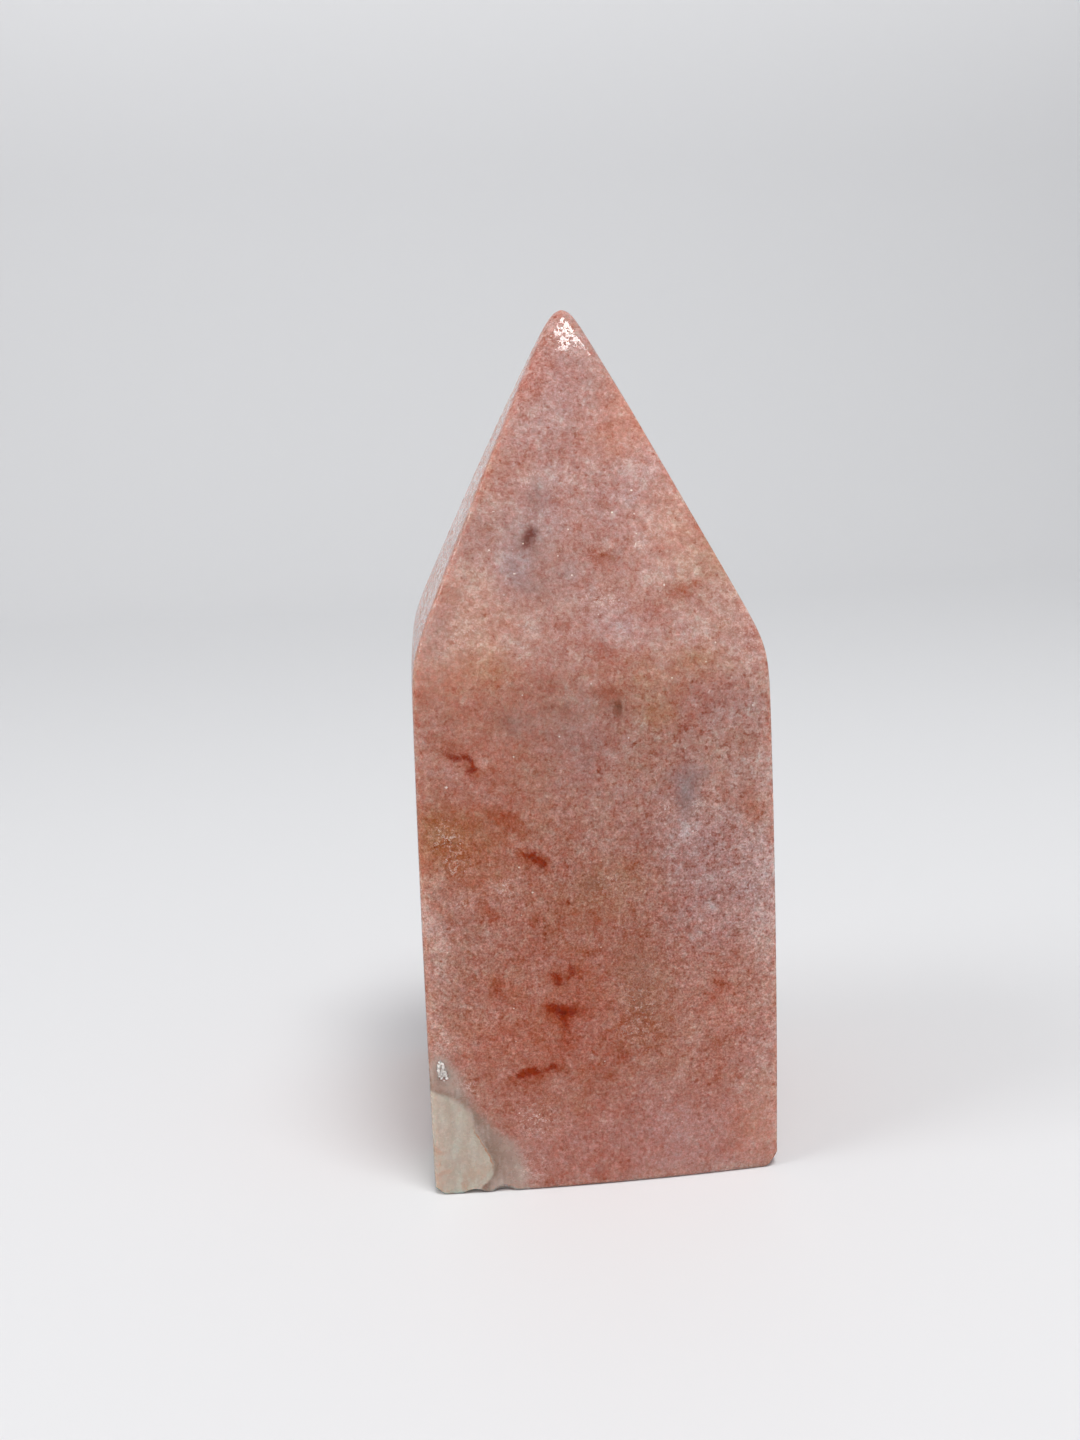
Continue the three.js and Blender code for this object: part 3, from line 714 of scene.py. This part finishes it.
# Haematite is bright where it is thin, near its rim, and darker deep inside and in specks.
ORE_DEPTHS = (-0.2, -0.75)
ORE_COVER = 0.95
deep = node("ShaderNodeMapRange", {
    "Value": layer["haematite"], "From Min": ORE_DEPTHS[0], "From Max": ORE_DEPTHS[1]}).outputs[0]
deep = node("ShaderNodeMath", {0: deep, 1: channels["specks"][1]}, operation="MAXIMUM").outputs[0]
ore = node("ShaderNodeMix", {FACTOR: deep, FROM: linear(HAEMATITE[0]), TO: linear(HAEMATITE[1])},
           data_type="RGBA").outputs[MIXED]
share = node("ShaderNodeMath", {0: covers["haematite"], 1: ORE_COVER}, operation="MULTIPLY").outputs[0]
colour = node("ShaderNodeMix", {FACTOR: share, FROM: colour, TO: ore}, data_type="RGBA").outputs[MIXED]

# The grey quartz in the corner: milky up to a thin rusty seam, and clearer and browner beyond it. Each share
# goes from least to most between two values of its source, such as millimetres past the seam to the right.
STREAK_SHAPE = (1, 1, 0.3)  # its streaks stand upright
STREAK_SCALE = 0.9
PEACHY_CLUMPS, PEACHY_MOST = (0.45, 0.65), 0.5
BREAK_PAST, BREAK_HALF = 0.55, 0.25  # where milky turns to clear, and half the width of that
SEAM_PAST, SEAM_HALF = 0.45, 0.16
RUSTY_HEIGHT = 5.6
QUARTZ_WANDER, QUARTZ_BLEND = 1.4, (0, 1.7)
upright = node("ShaderNodeVectorMath", {0: place, 1: STREAK_SHAPE}, operation="MULTIPLY").outputs[0]
streaks = node("ShaderNodeTexNoise", {"Vector": upright, "Scale": STREAK_SCALE, "Detail": 2.0,
                                      "Roughness": 0.6})
seam = node("ShaderNodeMath", {0: channels["clumps"][1], 1: layer["past_seam"]}, operation="ADD").outputs[0]
from_middle = node("ShaderNodeMath", {0: height, 1: -RUSTY_HEIGHT}, operation="ADD").outputs[0]
from_middle = node("ShaderNodeMath", {0: from_middle}, operation="ABSOLUTE").outputs[0]
shares = {}
for name, source, start, full, least, most in (
        ("patchy", streaks.outputs[0], 0.35, 0.65, 0, 1.0), ("veil", streaks.outputs[0], 0.45, 0.75, 0, 0.7),
        ("low", height, 6, 1, 0, 1.0), ("left", layer["past_seam"], -3.5, -5, 0, 1.0),
        ("far", seam, 0.8, 4, 0, 1.0), ("crisp", height, 7, 12, 1, 0.25),
        ("rusty", from_middle, 3, 1.5, 0, 0.7)):
    shares[name] = node("ShaderNodeMapRange", {"Value": source, "From Min": start, "From Max": full,
                                               "To Min": least, "To Max": most}).outputs[0]
milky = node("ShaderNodeMix", {
    FACTOR: shares["patchy"], FROM: linear(MILKY_QUARTZ[0]), TO: linear(MILKY_QUARTZ[1])},
    data_type="RGBA").outputs[MIXED]
low = node("ShaderNodeMath", {0: shares["low"], 1: shares["left"]}, operation="MAXIMUM").outputs[0]
peachy = node("ShaderNodeMapRange", {
    "Value": channels["clumps"][1], "From Min": PEACHY_CLUMPS[0], "From Max": PEACHY_CLUMPS[1],
    "To Max": PEACHY_MOST}, interpolation_type="SMOOTHSTEP").outputs[0]
peachy = node("ShaderNodeMath", {0: peachy, 1: low}, operation="MULTIPLY").outputs[0]
milky = node("ShaderNodeMix", {FACTOR: peachy, FROM: milky, TO: linear(PEACH_QUARTZ)},
             data_type="RGBA").outputs[MIXED]
clear = node("ShaderNodeMix", {
    FACTOR: shares["far"], FROM: linear(CLEAR_QUARTZ[0]), TO: linear(CLEAR_QUARTZ[1])},
    data_type="RGBA").outputs[MIXED]
clear = node("ShaderNodeMix", {FACTOR: shares["veil"], FROM: clear, TO: linear(QUARTZ_VEIL)},
             data_type="RGBA").outputs[MIXED]
past = node("ShaderNodeMath", {0: seam, 1: -BREAK_PAST}, operation="ADD").outputs[0]
past = node("ShaderNodeMath", {0: past, 1: shares["crisp"]}, operation="MULTIPLY").outputs[0]
past = node("ShaderNodeMapRange", {"Value": past, "From Min": -BREAK_HALF, "From Max": BREAK_HALF},
            interpolation_type="SMOOTHSTEP").outputs[0]
grey = node("ShaderNodeMix", {FACTOR: past, FROM: milky, TO: clear}, data_type="RGBA").outputs[MIXED]
from_seam = node("ShaderNodeMath", {0: seam, 1: -SEAM_PAST}, operation="ADD").outputs[0]
from_seam = node("ShaderNodeMath", {0: from_seam}, operation="ABSOLUTE").outputs[0]
on_seam = node("ShaderNodeMapRange", {"Value": from_seam, "From Min": SEAM_HALF, "From Max": 0.0},
               interpolation_type="SMOOTHSTEP").outputs[0]
on_seam = node("ShaderNodeMath", {0: on_seam, 1: shares["rusty"]}, operation="MULTIPLY").outputs[0]
grey = node("ShaderNodeMix", {FACTOR: on_seam, FROM: grey, TO: linear(QUARTZ_SEAM_TONE)},
            data_type="RGBA").outputs[MIXED]
edge = node("ShaderNodeMath", {0: channels["ragged"][0], 1: QUARTZ_WANDER, 2: layer["quartz"]},
            operation="MULTIPLY_ADD").outputs[0]
quartz_share = node("ShaderNodeMapRange", {
    "Value": edge, "From Min": QUARTZ_BLEND[0], "From Max": QUARTZ_BLEND[1]},
    interpolation_type="SMOOTHSTEP").outputs[0]
colour = node("ShaderNodeMix", {FACTOR: quartz_share, FROM: colour, TO: grey},
              data_type="RGBA").outputs[MIXED]

# The grain and the sugary sparkle of its smallest crystals shade the stone a little, less in the grey quartz.
SHADE_START = -0.12
SHADE_IN_QUARTZ = 0.35
REDDER_IN_ROSY = 0.3
shade = SHADE_START
for source, weight in ((channels["clumps"][2], 0.26), (channels["grain"][1], 0.25), (fine, -0.3),
                       (sugar, 0.8), (speckle, -0.12), (dots["freckle"], -0.08)):
    shade = node("ShaderNodeMath", {0: source, 1: weight, 2: shade}, operation="MULTIPLY_ADD").outputs[0]
plain = node("ShaderNodeMapRange", {
    "Value": quartz_share, "To Min": 1, "To Max": SHADE_IN_QUARTZ}).outputs[0]
shade = node("ShaderNodeMath", {0: shade, 1: plain, 2: 1.0}, operation="MULTIPLY_ADD").outputs[0]
colour = node("ShaderNodeVectorMath", {0: colour, "Scale": shade}, operation="SCALE").outputs[0]
# Some spots are redder than others though no darker.
redder = node("ShaderNodeMath", {0: layer["rosy"], 1: REDDER_IN_ROSY, 2: centred["specks"]},
              operation="MULTIPLY_ADD").outputs[0]
redder = node("ShaderNodeMath", {0: redder, 1: plain}, operation="MULTIPLY").outputs[0]
redder = node("ShaderNodeVectorMath", {0: RED_SHIFT, "Scale": redder}, operation="SCALE").outputs[0]
redder = node("ShaderNodeVectorMath", {0: redder, 1: (1, 1, 1.0)}, operation="ADD").outputs[0]
colour = node("ShaderNodeVectorMath", {0: colour, 1: redder}, operation="MULTIPLY").outputs[0]
# Last the white. It goes into painted highlights at the glints and sparkles, and into the threads, which are
# partly pale fibres and partly painted glitter. It also goes into the druse's bed, which is partly its white
# crystals and partly painted light that lifts the hollow out of its shade.
for cover, most in ((dots["painted_glint"], 0.85), (threads_and_glitter, 0.9), (covers["druse"], 0.4), (covers["sparkle"], 0.95)):
    share = node("ShaderNodeMath", {0: cover, 1: most}, operation="MULTIPLY").outputs[0]
    colour = node("ShaderNodeMix", {FACTOR: share, FROM: colour, TO: linear(GLINT)},
                  data_type="RGBA").outputs[MIXED]

# The polish: a faint waviness from the tumbling, and tiny dull pits that break up a glare.
PIT_EDGE = (0.51, 0.53)
PIT_DEPTH = 0.05
PIT_ROUGHNESS = 0.55
WAVINESS = 0.03
UNEVEN_CLUMPS, POLISH_ROUGHNESS = (0.3, 0.7), (0.03, 0.08)
LIGHT_REACH = (1, 0.5, 0.4)  # red light goes farthest into the stone
LIGHT_DEPTH = 2.5 * MM
pitted = node("ShaderNodeMapRange", {
    "Value": channels["specks"][1], "From Min": PIT_EDGE[0], "From Max": PIT_EDGE[1]},
    interpolation_type="SMOOTHSTEP").outputs[0]
relief = node("ShaderNodeMath", {0: pitted, 1: -PIT_DEPTH}, operation="MULTIPLY").outputs[0]
relief = node("ShaderNodeMath", {0: channels["clouds"][2], 1: WAVINESS, 2: relief},
              operation="MULTIPLY_ADD").outputs[0]
normal = node("ShaderNodeBump", {"Height": relief, "Distance": MM}).outputs[0]
roughness = node("ShaderNodeMapRange", {
    "Value": channels["clumps"][2], "From Min": UNEVEN_CLUMPS[0], "From Max": UNEVEN_CLUMPS[1],
    "To Min": POLISH_ROUGHNESS[0], "To Max": POLISH_ROUGHNESS[1]}).outputs[0]
roughness = node("ShaderNodeMath", {0: pitted, 1: PIT_ROUGHNESS, 2: roughness},
                 operation="MULTIPLY_ADD").outputs[0]
shader = node("ShaderNodeBsdfPrincipled", {
    "Base Color": colour, "Roughness": roughness, "IOR": STONE_IOR, "Normal": normal,
    "Subsurface Weight": 1, "Subsurface Radius": LIGHT_REACH, "Subsurface Scale": LIGHT_DEPTH})
tree.links.new(shader.outputs[0], output.inputs["Surface"])
mesh.materials.append(stone_finish)
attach(stone, "root")
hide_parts("amethyst_tower")


# The druse: clear quartz crystals a few tenths of a millimetre across. They line the chipped hollow at the
# left edge, above the grey quartz, and grew on the stone itself, each a six-sided prism with a pointed top.
DRUSE_BED = 0.15  # how far outside the druse's stroke its crystals still grow, in millimetres
CRYSTALS_PER_SQUARE_METRE = 16.0e6
CRYSTAL_SEED = 5
CRYSTAL_WIDTH = 0.3 * MM
CRYSTAL_BODY = 0.3 * MM
CRYSTAL_POINT = 0.2 * MM
CRYSTAL_LEAN = math.radians(40)
CRYSTAL_SIZES = (0.6, 1.3)
CRYSTAL_SIDES = 6
DRUSE_TONE = "#FAF4EE"
DRUSE_ROUGHNESS = 0.05
DRUSE_CLEARNESS = 0.15

in_bed = layers["druse"] < DRUSE_BED
bed_faces = [face for face in faces if all(in_bed[corner] for corner in face)]
used = sorted({corner for face in bed_faces for corner in face})
renumbered = {corner: number for number, corner in enumerate(used)}
bed = bpy.data.meshes.new("druse_crystals")
bed.from_pydata(points[used] * MM, [], [[renumbered[corner] for corner in face] for face in bed_faces])
druse = bpy.data.objects.new("druse_crystals", bed)
scene.collection.objects.link(druse)

druse_finish, tree, output = new_material("clear_quartz_crystal")
shader = add(tree, "ShaderNodeBsdfPrincipled", {
    "Base Color": linear(DRUSE_TONE), "Roughness": DRUSE_ROUGHNESS, "IOR": STONE_IOR,
    "Transmission Weight": DRUSE_CLEARNESS})
tree.links.new(shader.outputs[0], output.inputs["Surface"])

growth = bpy.data.node_groups.new("grow_crystals", "GeometryNodeTree")
node = functools.partial(add, growth)
growth.interface.new_socket("Crystals", in_out="OUTPUT", socket_type="NodeSocketGeometry")
sockets = {}
for name, kind in (("Bed", "NodeSocketGeometry"), ("Density", "NodeSocketFloat"),
                   ("Width", "NodeSocketFloat"), ("Body", "NodeSocketFloat"), ("Point", "NodeSocketFloat"),
                   ("Lean", "NodeSocketFloat"), ("Seed", "NodeSocketInt"), ("Finish", "NodeSocketMaterial")):
    sockets[name] = growth.interface.new_socket(name, in_out="INPUT", socket_type=kind).identifier
given = node("NodeGroupInput").outputs
radius = node("ShaderNodeMath", {0: given["Width"], 1: 0.5}, operation="MULTIPLY").outputs[0]
prism = node("GeometryNodeMeshCylinder", {
    "Vertices": CRYSTAL_SIDES, "Radius": radius, "Depth": given["Body"]},
    fill_type="TRIANGLE_FAN").outputs["Mesh"]
# The middle of the prism's top is raised to a point. The rim stays, and so does the bottom.
corner = node("ShaderNodeSeparateXYZ", {"Vector": node("GeometryNodeInputPosition").outputs[0]})
flat = node("ShaderNodeCombineXYZ", {"X": corner.outputs["X"], "Y": corner.outputs["Y"]}).outputs[0]
from_axis = node("ShaderNodeVectorMath", {0: flat}, operation="LENGTH").outputs["Value"]
inward = node("ShaderNodeMapRange", {"Value": from_axis, "From Min": radius, "From Max": 0.0}).outputs[0]
on_top = node("ShaderNodeMath", {0: corner.outputs["Z"], 1: 0.0}, operation="GREATER_THAN").outputs[0]
raised = node("ShaderNodeMath", {0: inward, 1: on_top}, operation="MULTIPLY").outputs[0]
raised = node("ShaderNodeMath", {0: raised, 1: given["Point"]}, operation="MULTIPLY").outputs[0]
crystal = node("GeometryNodeSetPosition", {
    "Geometry": prism, "Offset": node("ShaderNodeCombineXYZ", {"Z": raised}).outputs[0]}).outputs[0]
scattered = node("GeometryNodeDistributePointsOnFaces", {
    "Mesh": given["Bed"], "Density": given["Density"], "Seed": given["Seed"]})
size = node("FunctionNodeRandomValue", {
    2: CRYSTAL_SIZES[0], 3: CRYSTAL_SIZES[1], "Seed": given["Seed"]}).outputs[1]
grown = node("GeometryNodeInstanceOnPoints", {
    "Points": scattered.outputs["Points"], "Instance": crystal, "Rotation": scattered.outputs["Rotation"],
    "Scale": size}).outputs[0]
back = node("ShaderNodeMath", {0: given["Lean"], 1: -1.0}, operation="MULTIPLY").outputs[0]
lean = node("FunctionNodeRandomValue", {0: back, 1: given["Lean"], "Seed": given["Seed"]},
            data_type="FLOAT_VECTOR").outputs[0]
leaning = node("GeometryNodeRotateInstances", {"Instances": grown, "Rotation": lean}).outputs[0]
realized = node("GeometryNodeRealizeInstances", {"Geometry": leaning}).outputs[0]
finished = node("GeometryNodeSetMaterial", {"Geometry": realized, "Material": given["Finish"]}).outputs[0]
add(growth, "NodeGroupOutput", {"Crystals": finished})

grower = druse.modifiers.new("grow_crystals", "NODES")
grower.node_group = growth
for name, value in (("Density", CRYSTALS_PER_SQUARE_METRE), ("Width", CRYSTAL_WIDTH), ("Body", CRYSTAL_BODY),
                    ("Point", CRYSTAL_POINT), ("Lean", CRYSTAL_LEAN), ("Seed", CRYSTAL_SEED),
                    ("Finish", druse_finish)):
    grower[sockets[name]] = value
evaluated = druse.evaluated_get(bpy.context.evaluated_depsgraph_get())
crystals = bpy.data.meshes.new_from_object(evaluated)
crystals.materials.pop(index=0)  # the bare prism's empty slot
druse.modifiers.clear()
druse.data = crystals
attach(druse, "root")
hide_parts("amethyst_tower")
